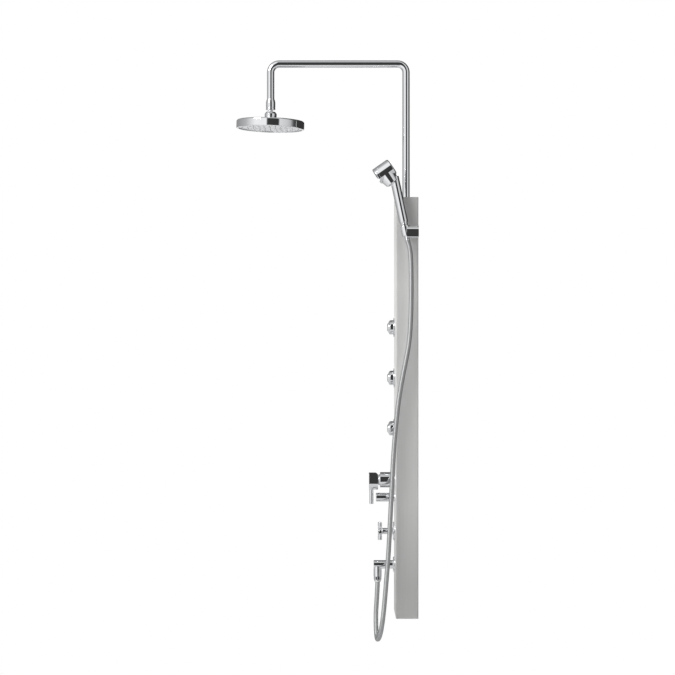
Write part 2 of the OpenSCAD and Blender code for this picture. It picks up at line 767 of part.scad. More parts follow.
panel_shell();
top_cap();
bottom_cap();
upper_hanger_rail();
lower_hanger_rail();
upper_wall_bracket();
lower_wall_bracket();
riser_collar();
riser_locknut();
riser_fitting();
gooseneck_pipe();
ball_stem();
swivel_ring();
swivel_nut();
rain_head_shell();
ball_gasket();
rain_face_plate();
rain_nozzles();
jet_flange_1();
jet_flange_2();
jet_flange_3();
jet_ring_1();
jet_ring_2();
jet_ring_3();
jet_ball_1();
jet_ball_2();
jet_ball_3();
jet_housing_1();
jet_housing_2();
jet_housing_3();
jet_locknuts();
mixer_body();
mixer_locknut();
mixer_cartridge();
cartridge_nut();
mixer_dome();
cartridge_carrier();
mixer_stem();
mixer_handle();
diverter_body();
diverter_collar();
diverter_spindle();
diverter_knob();
valve_body();
valve_escutcheon();
valve_spindle();
cross_handle();
outlet_elbow();
outlet_escutcheon();
riser_supply_pipe();
jets_supply_pipe();
link_pipes();
holder_body();
holder_cradle();
hose_cone_nut();
hose_hex_nut();
hose();
handset_handle();
handset_head();
handset_face();
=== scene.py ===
"""Looks for the rainfall shower column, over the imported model.

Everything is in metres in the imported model's frame: the wall is the plane Y = 0, the panel's
front faces -Y, the hand shower hangs on the +X side and +Z is up.
"""

import json
import math

import bmesh
import bpy
from mathutils import Matrix, Vector


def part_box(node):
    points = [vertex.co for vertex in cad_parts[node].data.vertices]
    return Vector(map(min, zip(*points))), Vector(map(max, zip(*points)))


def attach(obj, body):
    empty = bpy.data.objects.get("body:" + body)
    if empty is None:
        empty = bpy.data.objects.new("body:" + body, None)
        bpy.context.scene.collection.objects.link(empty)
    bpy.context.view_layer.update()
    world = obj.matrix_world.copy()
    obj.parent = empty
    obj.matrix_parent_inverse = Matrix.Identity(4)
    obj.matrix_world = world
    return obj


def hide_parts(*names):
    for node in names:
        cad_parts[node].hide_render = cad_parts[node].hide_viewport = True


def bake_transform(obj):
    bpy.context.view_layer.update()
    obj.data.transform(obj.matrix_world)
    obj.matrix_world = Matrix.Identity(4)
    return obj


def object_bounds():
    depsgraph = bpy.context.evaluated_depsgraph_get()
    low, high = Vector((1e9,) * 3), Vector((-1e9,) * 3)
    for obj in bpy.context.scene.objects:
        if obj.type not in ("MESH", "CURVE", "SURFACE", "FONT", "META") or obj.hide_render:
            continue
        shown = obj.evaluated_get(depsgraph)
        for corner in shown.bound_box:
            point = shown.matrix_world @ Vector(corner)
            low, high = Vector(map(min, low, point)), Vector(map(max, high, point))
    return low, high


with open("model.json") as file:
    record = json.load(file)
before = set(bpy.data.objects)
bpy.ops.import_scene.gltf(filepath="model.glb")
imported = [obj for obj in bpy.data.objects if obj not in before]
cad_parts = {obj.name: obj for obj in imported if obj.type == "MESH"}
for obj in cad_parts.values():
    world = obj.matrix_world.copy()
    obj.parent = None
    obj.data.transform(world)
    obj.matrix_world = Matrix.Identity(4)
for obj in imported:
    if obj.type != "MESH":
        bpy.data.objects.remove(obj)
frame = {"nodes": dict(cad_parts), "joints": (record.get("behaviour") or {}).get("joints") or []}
cad_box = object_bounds()

# ---- Places and sizes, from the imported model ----

JOINTS = {j["name"]: j for j in frame["joints"]}


def joint_place(name):
    return Vector(JOINTS[name]["pos_m"])


def centre(node):
    low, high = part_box(node)
    return (low + high) / 2


def turned(degrees, axis):
    return Matrix.Rotation(math.radians(degrees), 4, axis)


face_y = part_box("panel_shell")[0].y
riser_y = centre("riser_collar").y
ball = joint_place("rain_head_fore_aft")
cradle_middle = joint_place("handset_spin")
handle_axis = Vector(JOINTS["handset_spin"]["axis"])
handle_tilt = math.degrees(math.atan2(-handle_axis.y, handle_axis.z))
head_tip = 1.9          # how far the rain head's front edge is tipped up, in degrees
drum_pitch = 35.0       # how far the hand shower's spray points below level, in degrees
drum_offset = Vector((0, -0.0245, 0.181))   # from the cradle's middle, in the handle's frame

at_head = Matrix.Translation(ball) @ turned(-head_tip, "X")
on_handle = Matrix.Translation(cradle_middle) @ turned(handle_tilt, "X")
on_drum = on_handle @ Matrix.Translation(drum_offset) @ turned(90 + drum_pitch - handle_tilt, "X")
sideways = turned(90, "X")      # local +Z comes out of the panel's face, local +Y is up
downwards = turned(90, "X")     # within a frame on the face, local +Z then points down

TINY = 1e-6             # a length that counts as nothing


def on_face(height):
    """A frame in the middle of the panel's face, at a height."""
    return Matrix.Translation((0, face_y, height)) @ sideways


# ---- Materials ----


def wire(tree, kind, inputs=(), **settings):
    """A node whose inputs are numbers, colours or other nodes' sockets."""
    made = tree.nodes.new("ShaderNode" + kind)
    for key, value in settings.items():
        setattr(made, key, value)
    for key, value in dict(inputs).items():
        if isinstance(value, bpy.types.NodeSocket):
            tree.links.new(value, made.inputs[key])
        else:
            made.inputs[key].default_value = value
    return made


def new_material(name, **sockets):
    material = bpy.data.materials.new(name)
    material.use_nodes = True
    shader = material.node_tree.nodes["Principled BSDF"]
    for key, value in sockets.items():
        shader.inputs[key.replace("_", " ")].default_value = value
    return material, material.node_tree, shader


def stretched(tree, scale=(1, 1, 1)):
    """The piece's own coordinates, scaled along each axis."""
    place = wire(tree, "TexCoord").outputs["Object"]
    return wire(tree, "Mapping", {"Vector": place, "Scale": scale}).outputs["Vector"]


def calc(tree, operation, *values):
    """One step of arithmetic on numbers or sockets."""
    return wire(tree, "Math", dict(enumerate(values)), operation=operation).outputs[0]


def noise(tree, place, scale, detail=3.0, roughness=0.5):
    return wire(tree, "TexNoise", {"Vector": place, "Scale": scale, "Detail": detail,
                                   "Roughness": roughness}).outputs["Fac"]


def spread(tree, value, low, high, start=0.3, end=0.7):
    """A value mapped from start..end onto low..high."""
    return wire(tree, "MapRange", {"Value": value, "From Min": start, "From Max": end,
                                   "To Min": low, "To Max": high}).outputs["Result"]


def tint(tree, value, dark, light):
    """A colour between two others, by a value from 0 to 1."""
    return wire(tree, "MixRGB", {"Fac": value, "Color1": (*dark, 1), "Color2": (*light, 1)}).outputs[0]


def bumped(tree, shader, height, distance, strength=1.0):
    bump = wire(tree, "Bump", {"Height": height, "Distance": distance, "Strength": strength})
    tree.links.new(bump.outputs["Normal"], shader.inputs["Normal"])


def polished_chrome():
    """Bright plating with a faint ripple, and a haze of wiped water marks."""
    material, tree, shader = new_material("chrome", Metallic=1.0)
    place = stretched(tree)
    haze = noise(tree, place, 38, 5.0, 0.6)
    marks = wire(tree, "TexVoronoi", {"Vector": place, "Scale": 160.0}).outputs["Distance"]
    tree.links.new(tint(tree, haze, (0.80, 0.81, 0.83), (0.86, 0.87, 0.88)), shader.inputs["Base Color"])
    smear = calc(tree, "ADD", spread(tree, haze, 0.028, 0.075), spread(tree, marks, 0.02, 0.0, 0.02, 0.12))
    tree.links.new(smear, shader.inputs["Roughness"])
    bumped(tree, shader, noise(tree, place, 30, 2.0), 0.00004, 0.08)
    return material


def brushed_steel():
    """Sheet steel with its grain along Z: fine scratches over wider, fainter bands, with painted shade
    that darkens its colour towards both ends of the panel."""
    material, tree, shader = new_material("brushed_steel", Metallic=1.0, Anisotropic=0.8)
    fine = noise(tree, stretched(tree, (1, 1, 0.012)), 2600, 3.0, 0.7)
    bands = noise(tree, stretched(tree, (1, 1, 0.03)), 190, 4.0, 0.65)
    patches = noise(tree, stretched(tree, (1, 1, 0.4)), 9, 3.0)
    grain = wire(tree, "Mix", {0: 0.45, 2: fine, 3: bands}).outputs[0]
    height = wire(tree, "SeparateXYZ", {0: stretched(tree)}).outputs[2]
    # Painted shade: the colour is multiplied down to 0.8 towards the top and the bottom of the panel, in
    # place of light that falls off there.
    end_shade_level = 0.80
    painted_end_shade = calc(tree, "MULTIPLY", spread(tree, height, 1.0, end_shade_level, start=-0.17, end=0.0),
                  spread(tree, height, end_shade_level, 1.0, start=-1.06, end=-0.82))
    sheet = tint(tree, spread(tree, grain, 0, 1), (0.90, 0.90, 0.89), (0.98, 0.98, 0.97))
    base = wire(tree, "MixRGB", {"Fac": painted_end_shade, "Color1": (0, 0, 0, 1), "Color2": sheet})
    tree.links.new(base.outputs[0], shader.inputs["Base Color"])
    rough = calc(tree, "ADD", spread(tree, grain, 0.54, 0.62), spread(tree, patches, -0.02, 0.03))
    tree.links.new(rough, shader.inputs["Roughness"])
    bumped(tree, shader, grain, 0.00005, 0.5)
    return material


def satin_steel():
    """The rain head's underside: finely ground metal."""
    material, tree, shader = new_material("satin_steel", Metallic=1.0)
    place = stretched(tree)
    grain = noise(tree, place, 1400, 2.0)
    tree.links.new(tint(tree, noise(tree, place, 20), (0.84, 0.85, 0.86), (0.91, 0.92, 0.93)),
                   shader.inputs["Base Color"])
    tree.links.new(spread(tree, grain, 0.36, 0.46), shader.inputs["Roughness"])
    bumped(tree, shader, grain, 0.00003, 0.5)
    return material


def galvanised_zinc():
    """Zinc plate with its crystal pattern."""
    material, tree, shader = new_material("galvanised_zinc", Metallic=1.0)
    place = stretched(tree)
    crystals = wire(tree, "TexVoronoi", {"Vector": place, "Scale": 110.0}, feature="F1").outputs["Color"]
    facet = wire(tree, "SeparateColor", {0: crystals}).outputs[0]
    tree.links.new(tint(tree, facet, (0.50, 0.52, 0.54), (0.66, 0.68, 0.70)), shader.inputs["Base Color"])
    tree.links.new(spread(tree, facet, 0.32, 0.50, 0, 1), shader.inputs["Roughness"])
    bumped(tree, shader, noise(tree, place, 240), 0.00008, 0.5)
    return material


def cast_brass():
    """Sand-cast brass with a slightly grainy skin, darker in its hollows."""
    material, tree, shader = new_material("cast_brass", Metallic=1.0)
    place = stretched(tree)
    skin = noise(tree, place, 650, 4.0, 0.65)
    stain = noise(tree, place, 42, 4.0, 0.6)
    tree.links.new(tint(tree, spread(tree, stain, 0, 1), (0.50, 0.36, 0.15), (0.76, 0.58, 0.27)),
                   shader.inputs["Base Color"])
    tree.links.new(spread(tree, skin, 0.30, 0.46), shader.inputs["Roughness"])
    bumped(tree, shader, skin, 0.00012, 0.6)
    return material


def bearing_plastic():
    """Ivory engineering plastic with a fine moulded texture."""
    material, tree, shader = new_material("bearing_plastic", Specular_IOR_Level=0.45)
    place = stretched(tree)
    tree.links.new(tint(tree, noise(tree, place, 70, 4.0), (0.70, 0.68, 0.61), (0.80, 0.78, 0.72)),
                   shader.inputs["Base Color"])
    texture = noise(tree, place, 1500, 2.0)
    tree.links.new(spread(tree, texture, 0.42, 0.55), shader.inputs["Roughness"])
    bumped(tree, shader, texture, 0.00004, 0.5)
    return material


def soft_rubber(name, dark, light):
    """Soft silicone with a dry bloom."""
    material, tree, shader = new_material(name, Specular_IOR_Level=0.35)
    place = stretched(tree)
    bloom = noise(tree, place, 260, 4.0, 0.6)
    tree.links.new(tint(tree, spread(tree, bloom, 0, 1), dark, light), shader.inputs["Base Color"])
    tree.links.new(spread(tree, bloom, 0.50, 0.68), shader.inputs["Roughness"])
    bumped(tree, shader, noise(tree, place, 1800, 2.0), 0.00003, 0.5)
    return material


def hose_metal():
    """The hose's plated wrap, duller in its grooves."""
    material, tree, shader = new_material("hose_metal", Metallic=1.0)
    place = stretched(tree)
    rub = noise(tree, place, 420, 4.0, 0.6)
    tree.links.new(tint(tree, spread(tree, rub, 0, 1), (0.42, 0.425, 0.43), (0.52, 0.525, 0.53)),
                   shader.inputs["Base Color"])
    tree.links.new(spread(tree, rub, 0.44, 0.56), shader.inputs["Roughness"])
    bumped(tree, shader, rub, 0.00003, 0.4)
    return material


CHROME = polished_chrome()
STEEL = brushed_steel()
SATIN = satin_steel()
ZINC = galvanised_zinc()
BRASS = cast_brass()
PLASTIC = bearing_plastic()
RUBBER = soft_rubber("nozzle_rubber", (0.17, 0.175, 0.185), (0.24, 0.245, 0.255))
PALE_RUBBER = soft_rubber("pale_rubber", (0.68, 0.685, 0.69), (0.78, 0.785, 0.79))
HOSE = hose_metal()

# ---- Mesh helpers ----


def rounded(outline, radius, arc=4):
    """The outline with its corners rounded; a corner may carry a radius of its own."""
    result = []
    for i, point in enumerate(outline):
        here = Vector(point[:2])
        corner_radius = point[2] if len(point) > 2 else radius
        if i in (0, len(outline) - 1) or corner_radius == 0:
            result.append(here)
            continue
        back, on = Vector(outline[i - 1][:2]) - here, Vector(outline[i + 1][:2]) - here
        cut = min(corner_radius / math.tan(back.angle(on) / 2), 0.45 * back.length, 0.45 * on.length)
        if cut < TINY:
            result.append(here)
            continue
        start, end = here + back.normalized() * cut, here + on.normalized() * cut
        for k in range(arc + 1):
            t = k / arc
            result.append((1 - t) ** 2 * start + 2 * t * (1 - t) * here + t * t * end)
    return result


def arc_points(radius, start, end, middle=(0, 0), count=16):
    """Points on a circle from one angle above level to another, in degrees."""
    angles = [math.radians(start + (end - start) * k / count) for k in range(count + 1)]
    return [(middle[0] + radius * math.cos(a), middle[1] + radius * math.sin(a), 0) for a in angles]


def groove(radius, low, high, depth, slope, corner):
    """Outline points of a groove round a turned piece, from its low edge to its high one."""
    return [(radius, low, corner), (radius - depth, low + slope, corner),
            (radius - depth, high - slope, corner), (radius, high, corner)]


def face_ring(radius, face, depth, half, corner):
    """Outline points of a fine ring cut into a turned piece's flat face, from the outside in."""
    return [(radius + half, face, corner), (radius, face - depth, corner), (radius - half, face, corner)]


def round_reach(radius, angle):
    """Leaves a turned shape round, whatever the angle."""
    return radius


def hex_reach(across):
    """Cuts a turned shape to a hexagon, "across" its corners wide, as a nut is."""
    def reach(radius, angle):
        off_middle = (angle + math.pi / 6) % (math.pi / 3) - math.pi / 6
        return min(radius, across / 2 * math.cos(math.pi / 6) / math.cos(off_middle))
    return reach


def add_lathe(mesh, matrix, outline, steps=96, reach=round_reach):
    """Turns an outline of (radius, height) about local Z; "reach" may change the radius with the
    angle."""
    turns = [2 * math.pi * k / steps for k in range(steps)]
    rings = []
    for radius, height in outline:
        if radius < TINY:
            rings.append([mesh.verts.new(matrix @ Vector((0, 0, height)))])
        else:
            rings.append([mesh.verts.new(matrix @ Vector((reach(radius, a) * math.cos(a),
                                                          reach(radius, a) * math.sin(a), height)))
                          for a in turns])
    for one, two in zip(rings, rings[1:]):
        for k in range(steps):
            n = (k + 1) % steps
            corners = [one[k % len(one)], one[n % len(one)], two[n % len(two)], two[k % len(two)]]
            corners = list(dict.fromkeys(corners))
            if len(corners) > 2:
                mesh.faces.new(corners)


def add_sweep(mesh, path, radii, sides=48):
    """A closed round tube along a path, with a radius at each of its points."""
    start = (path[1] - path[0]).normalized()
    side = start.cross(Vector((1, 0, 0)) if abs(start.x) < 0.9 else Vector((0, 1, 0))).normalized()
    rings = []
    for i, point in enumerate(path):
        ahead = (path[min(i + 1, len(path) - 1)] - path[max(i - 1, 0)]).normalized()
        side = (side - ahead * side.dot(ahead)).normalized()
        up = ahead.cross(side)
        rings.append([mesh.verts.new(point + radii[i] * (math.cos(a) * side + math.sin(a) * up))
                      for a in (2 * math.pi * k / sides for k in range(sides))])
    for one, two in zip(rings, rings[1:]):
        for k in range(sides):
            n = (k + 1) % sides
            mesh.faces.new([one[k], one[n], two[n], two[k]])
    mesh.faces.new(rings[0])
    mesh.faces.new(rings[-1])


def piece(name, mesh, material, body, stands_for, sharp=38):
    """A finished piece: smooth but for its sharp edges, riding on a body in place of CAD nodes."""
    bmesh.ops.remove_doubles(mesh, verts=mesh.verts, dist=TINY)
    bmesh.ops.recalc_face_normals(mesh, faces=mesh.faces)
    data = bpy.data.meshes.new(name)
    mesh.to_mesh(data)
    mesh.free()
    data.polygons.foreach_set("use_smooth", [True] * len(data.polygons))
    data.set_sharp_from_angle(angle=math.radians(sharp))
    data.materials.append(material)
    made = bpy.data.objects.new(name, data)
    bpy.context.scene.collection.objects.link(made)
    weights = made.modifiers.new("even_shading", "WEIGHTED_NORMAL")
    weights.keep_sharp = True
    if body:
        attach(made, body)
    if stands_for:
        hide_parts(*stands_for)
    return made


def turned_piece(name, matrix, outline, body, radius=0.0006, **lathe):
    """A chromed piece that is one turned shape, in place of the CAD node that it is named after."""
    mesh = bmesh.new()
    add_lathe(mesh, matrix, rounded(outline, radius), **lathe)
    return piece(name, mesh, CHROME, body, [name.removesuffix("_look")])


# ---- Camera, then the hose ----


def make_camera():
    """Level, far out on the hand shower's side, as the photograph was taken."""
    camera = bpy.data.objects.new("camera", bpy.data.cameras.new("camera"))
    camera.location = (5.678, -0.238, -0.323)
    camera.rotation_euler = (math.radians(90), 0, math.radians(90))
    camera.data.lens = 101.2
    camera.data.sensor_width = 36
    camera.data.clip_end = 60
    bpy.context.scene.collection.objects.link(camera)
    bpy.context.scene.camera = camera


HOSE_DIAMETER = 0.014
CONE_RADIUS = 0.010     # of the hose's tapered nut, level with the cradle's middle
CONE_TAPER = 0.085      # how much that radius grows per metre upwards
# The hose's route in the same places as its CAD solid, from the cone nut to the outlet's nut
HOSE_ROUTE = [
    (0.130, -0.0327, -0.0396), (0.130, -0.0265, -0.065), (0.130, -0.0235, -0.100),
    (0.130, -0.0225, -0.150), (0.130, -0.0225, -0.210), (0.130, -0.024, -0.270),
    (0.130, -0.028, -0.330), (0.130, -0.036, -0.380), (0.130, -0.045, -0.425),
    (0.130, -0.053, -0.470), (0.130, -0.060, -0.515), (0.130, -0.066, -0.570),
    (0.130, -0.071, -0.625), (0.130, -0.075, -0.680), (0.130, -0.078, -0.740),
    (0.130, -0.081, -0.800), (0.130, -0.084, -0.860), (0.130, -0.087, -0.920),
    (0.130, -0.090, -0.970), (0.130, -0.094, -1.020), (0.130, -0.098, -1.070),
    (0.130, -0.102, -1.115), (0.130, -0.106, -1.150), (0.121, -0.111, -1.183),
    (0.098, -0.116, -1.206), (0.065, -0.120, -1.215), (0.032, -0.122, -1.206),
    (0.009, -0.123, -1.183), (0.000, -0.123, -1.150), (0.000, -0.121, -1.115),
    (0.000, -0.119, -1.080), (0.000, -0.118, -1.0543),
]


def smooth_path(points, spacing):
    """A smooth curve through the points, sampled about that far apart."""
    points = [Vector(p) for p in points]
    ends = [2 * points[0] - points[1], *points, 2 * points[-1] - points[-2]]
    path = []
    for a, b, c, d in zip(ends, ends[1:], ends[2:], ends[3:]):
        count = max(2, round((c - b).length / spacing))
        for k in range(count):
            t = k / count
            path.append(0.5 * (2 * b + (c - a) * t + (2 * a - 5 * b + 4 * c - d) * t ** 2
                               + (3 * b - a - 3 * c + d) * t ** 3))
    path.append(points[-1])
    return path


def make_hose():
    """Interlocked metal hose: a wrap of rounded turns over the whole length."""
    turn, samples, groove_depth = 0.0036, 6, 0.0006
    path = smooth_path(HOSE_ROUTE, turn / samples)
    crests = [abs(math.sin(math.pi * k / samples)) ** 0.6 for k in range(samples)]
    radii = [HOSE_DIAMETER / 2 - groove_depth * (1 - crests[i % samples]) for i in range(len(path))]
    mesh = bmesh.new()
    add_sweep(mesh, path, radii, sides=24)
    hose = piece("hose_wrap", mesh, HOSE, None, ["hose"], sharp=70)
    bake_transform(hose)
    cone_nut = make_cone_nut()
    hex_nut = make_hex_nut()


def cone_radius(z):
    return CONE_RADIUS + CONE_TAPER * z


def make_cone_nut():
    """The hose's tapered nut, which sits in the cradle, with a ribbed grip at its foot."""
    foot, top, grip_top = -0.030, 0.016, -0.0165
    socket_radius, socket_floor = 0.0082, 0.0045
    rib_start, rib_pitch, rib_height, rib_depth, rib_slope = -0.0285, 0.0022, 0.0019, 0.0006, 0.0004
    ribs = []
    for k in range(5):
        low = rib_start + rib_pitch * k
        crest, high = cone_radius(low), low + rib_height
        ribs += [(crest - rib_depth, low), (crest, low + rib_slope),
                 (crest, high - rib_slope), (crest - rib_depth, high)]
    outline = [(0, foot), (cone_radius(foot) - 0.0008, foot), *ribs,
               (cone_radius(grip_top), grip_top), (cone_radius(top), top), (socket_radius, top),
               (socket_radius, socket_floor), (0, socket_floor)]
    return turned_piece("hose_cone_nut_look", on_handle, outline, "hose_end", radius=0.00025)


def make_hex_nut():
    """The hexagonal nut on the outlet, which narrows to the hose at its foot."""
    low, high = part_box("hose_hex_nut")
    middle = centre("hose_hex_nut")
    height, across = high.z - low.z, 0.0232
    outline = [(0.0071, 0), (0.0088, 0), (0.0095, 0.0045), (0.0104, 0.0062), (0.01145, 0.0075),
               (0.0115, height - 0.0012), (0.0104, height), (0.0100, height), (0.0100, 0.004),
               (0.0071, 0.004), (0.0071, 0)]
    return turned_piece("hose_hex_nut_look", Matrix.Translation((middle.x, middle.y, low.z)), outline,
                        "panel", radius=0.0002, reach=hex_reach(across))


# ---- Overhead arm and rain head ----


def make_gooseneck():
    """The riser, the arm and the drop, as one tube with two bends."""
    tube_radius, bend_radius, steps = 0.011, 0.025, 24
    low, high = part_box("gooseneck_pipe")
    arm_z, drop_y, drop_foot = high.z - tube_radius, ball.y, ball.z + 0.026
    path = [Vector((0, riser_y, low.z))]
    for start, middle_y in ((0, riser_y - bend_radius), (90, drop_y + bend_radius)):
        for k in range(steps + 1):
            a = math.radians(start + 90 * k / steps)
            path.append(Vector((0, middle_y + bend_radius * math.cos(a),
                                arm_z - bend_radius + bend_radius * math.sin(a))))
    path.append(Vector((0, drop_y, drop_foot)))
    mesh = bmesh.new()
    add_sweep(mesh, path, [tube_radius] * len(path), sides=64)
    piece("gooseneck_tube", mesh, CHROME, "panel", ["gooseneck_pipe"], sharp=60)


def make_riser_collar():
    """The trim ring round the riser, on top of the panel."""
    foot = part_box("riser_collar")[0].z
    outline = [(0.0111, 0), (0.0160, 0), (0.0160, 0.0012, 0.0004), (0.0135, 0.003), (0.0111, 0.003),
               (0.0111, 0)]
    turned_piece("riser_collar_look", Matrix.Translation((0, riser_y, foot)), outline, "panel")


def make_ball_stem():
    """The ball, its stem and the sleeve above it, which holds the end of the drop."""
    ball_radius, sleeve_radius, bore = 0.012, 0.0140, 0.0110
    sleeve = [(0.0055, 0.0166), (sleeve_radius, 0.0173),
              *groove(sleeve_radius, 0.0225, 0.0249, depth=0.0006, slope=0.0006, corner=0.0003),
              (sleeve_radius, 0.040), (0.0120, 0.049), (bore, 0.049), (bore, 0.030), (0, 0.030)]
    outline = [(0, -ball_radius, 0), *arc_points(ball_radius, -88, 62, count=28), *sleeve]
    turned_piece("ball_stem_look", Matrix.Translation(ball), outline, "panel")


def make_swivel_nut():
    """The nut that holds the rain head on its ball, with a round seat inside."""
    radius, seat, foot, top = 0.0180, 0.0146, -0.008, 0.012
    outline = [(seat, foot), (radius, foot),
               *groove(radius, -0.0045, -0.0021, depth=0.0006, slope=0.0006, corner=0.0003),
               (radius, 0.006), (0.0132, top), (0.0117, top), (0.0113, 0.0094),
               *arc_points(seat, 39, 0, count=8), (seat, foot)]
    turned_piece("swivel_nut_look", at_head, outline, "rain_head")


def make_rain_head():
    """The rain head's shell: a hollow disc with a short neck, open below for its face plate."""
    head_radius, top, bottom = 0.1015, -0.014, -0.0395
    face_radius, face_top = head_radius - 0.0063, -0.034
    outline = [(0.0090, -0.0025), (0.0144, -0.0025), (0.0144, -0.0105, 0.002), (0.0260, top + 0.002, 0.006),
               (head_radius - 0.012, top, 0.01), (head_radius - 0.003, top - 0.001, 0.002),
               (head_radius, top - 0.004, 0.003), (head_radius, bottom + 0.0015, 0.0012),
               (head_radius - 0.0015, bottom, 0.0008), (face_radius + 0.0003, bottom, 0.0005),
               (face_radius + 0.0003, face_top), (face_radius - 0.003, face_top),
               (face_radius - 0.003, top - 0.005), (0.022, top - 0.002), (0.0128, top - 0.002),
               (0.0128, -0.0042), (0.0090, -0.0042), (0.0090, -0.0025)]
    turned_piece("rain_head_shell_look", at_head, outline, "rain_head", steps=192)


def nozzle_places(rings, step):
    """The middle, then rings of 6, 12, 18 ... places, as seen from the nozzle side."""
    yield Vector((0, 0, 0))
    for ring in range(1, rings + 1):
        for k in range(6 * ring):
            a = math.radians(60 * k / ring)
            yield Vector((ring * step * math.cos(a), ring * step * math.sin(a), 0))


def make_rain_nozzles():
    """Soft nubs with a dimpled tip, standing on a thin collar each, on one mat."""
    mat_radius, mat_low, mat_high = 0.0918, -0.0338, -0.0328
    nub_end = -0.0390
    nub = rounded([(0, nub_end + 0.0007), (0.00045, nub_end + 0.0005), (0.0006, nub_end, 0.0001),
                   (0.0011, nub_end, 0.0003), (0.0016, nub_end + 0.0018, 0.0003),
                   (0.0021, nub_end + 0.0021, 0.0001), (0.0021, mat_low), (0, mat_low)], 0.0001, arc=2)
    mesh = bmesh.new()
    for place in nozzle_places(rings=5, step=0.017):
        add_lathe(mesh, at_head @ Matrix.Translation(place), nub, steps=20)
    add_lathe(mesh, at_head, [(0, mat_low), (mat_radius, mat_low), (mat_radius, mat_high), (0, mat_high)])
    piece("rain_nozzle_mat", mesh, PALE_RUBBER, "rain_head", ["rain_nozzles"])


# ---- Body jets ----


def make_jet_flange(i, frame_on_face, ball_out):
    """The ring on the panel that the ball turns in."""
    bore, barrel, mouth = 0.0202, 0.0214, 0.0153
    outline = [(bore, 0), (0.0290, 0), (0.0290, 0.0036, 0.0008), (0.0240, 0.0046, 0.0008),
               (barrel, 0.0052, 0.0006), (barrel, 0.0142, 0.0008), (0.0190, 0.0176, 0.002),
               (0.0172, 0.0180, 0.0006), (mouth, 0.0162, 0.0004), (mouth, 0.0150),
               *arc_points(0.0179, 30, 0, (0, ball_out), count=6), (bore, 0.009), (bore, 0)]
    turned_piece(f"jet_flange_{i}_look", frame_on_face, outline, "panel")


def make_jet_ball(i, frame_on_face, ball_out, face_out):
    """The ball, cut flat in front and stepped down towards its middle."""
    radius = 0.016
    rim_angle = math.degrees(math.asin((face_out - ball_out) / radius))
    outline = [(0.005, -0.0046), *arc_points(radius, -70, rim_angle, (0, ball_out), count=30),
               (0.0093, face_out, 0.0003), (0.0086, face_out - 0.0012, 0.0004),
               (0.0052, face_out - 0.0013, 0.0002), (0.0049, face_out - 0.0018, 0.0002),
               (0.0026, face_out - 0.0018, 0.0002), (0.0023, face_out - 0.0012, 0.0003),
               (0, face_out - 0.0010)]
    turned_piece(f"jet_ball_{i}_look", frame_on_face, outline, f"jet_{i}_ball", radius=0.0003)


def make_jet_tips(i, frame_on_face, face_out):
    """A ring of soft outlets that just stand out of the ball's face."""
    count, circle, tip, root = 6, 0.0068, face_out + 0.0001, face_out - 0.0022
    outlet = rounded([(0, tip - 0.0015), (0.0005, tip - 0.0014), (0.0006, tip, 0.0001),
                      (0.0010, tip, 0.0002), (0.0013, root), (0, root)], 0.0001, arc=2)
    mesh = bmesh.new()
    for k in range(count):
        place = turned(360 / count * k, "Z") @ Matrix.Translation((circle, 0, 0))
        add_lathe(mesh, frame_on_face @ place, outlet, steps=20)
    piece(f"jet_tips_{i}", mesh, RUBBER, f"jet_{i}_ball", None)


def make_jet(i):
    frame_on_face = on_face(centre(f"jet_flange_{i}").z)
    ball_out, face_out = 0.0105, 0.023      # the ball's middle and its flat face, from the panel
    make_jet_flange(i, frame_on_face, ball_out)
    make_jet_ball(i, frame_on_face, ball_out, face_out)
    make_jet_tips(i, frame_on_face, face_out)


# ---- Mixer ----


HUB_HALF = 0.0233       # half the hub's width, and the radius of its round lower part
HUB_TOP = 0.0205        # from its middle to its flat top
HUB_DROP = 0.006        # how far the middle of the round part lies below the hub's middle
HUB_BORE = 0.018        # inside this radius it stays round: its hollow and the ring on its front


def hub_reach(radius, angle):
    """The hub's outline: square above and round below, with its hollow left round."""
    if radius < HUB_BORE:
        return radius
    across, up = math.cos(angle), math.sin(angle)
    far = min(HUB_HALF / max(abs(across), TINY), HUB_TOP / max(up, TINY))
    if far * up < -HUB_DROP:
        far = -up * HUB_DROP + math.sqrt(HUB_HALF ** 2 - (across * HUB_DROP) ** 2)
    return radius * far / HUB_HALF


def make_mixer_dome(frame_on_face, pivot):
    """The round neck that the hub's hollow slides over; "pivot" is its middle, from the panel."""
    flange, back = 0.0205, 0.0415
    outline = [(flange, back), (flange, 0.0430, 0.0005), (0.0180, 0.0434, 0.0008),
               *arc_points(0.0168, 6, 60, (0, pivot), count=20), (0.0080, pivot + 0.0140),
               *arc_points(0.0150, 56, 4, (0, pivot), count=14), (0.0150, back), (flange, back)]
    turned_piece("mixer_dome_look", frame_on_face, outline, "panel")


def bevel_hub(mesh, back):
    """Cuts the hub's top edge away at its back."""
    drop, run = 0.0049, 0.0060
    everything = [*mesh.verts, *mesh.edges, *mesh.faces]
    cut = bmesh.ops.bisect_plane(mesh, geom=everything, dist=1e-7, plane_co=(0, HUB_TOP, back + run),
                                 plane_no=(0, run, -drop), clear_outer=True)
    rim = [e for e in cut["geom_cut"] if isinstance(e, bmesh.types.BMEdge)]
    bmesh.ops.edgeloop_fill(mesh, edges=rim)


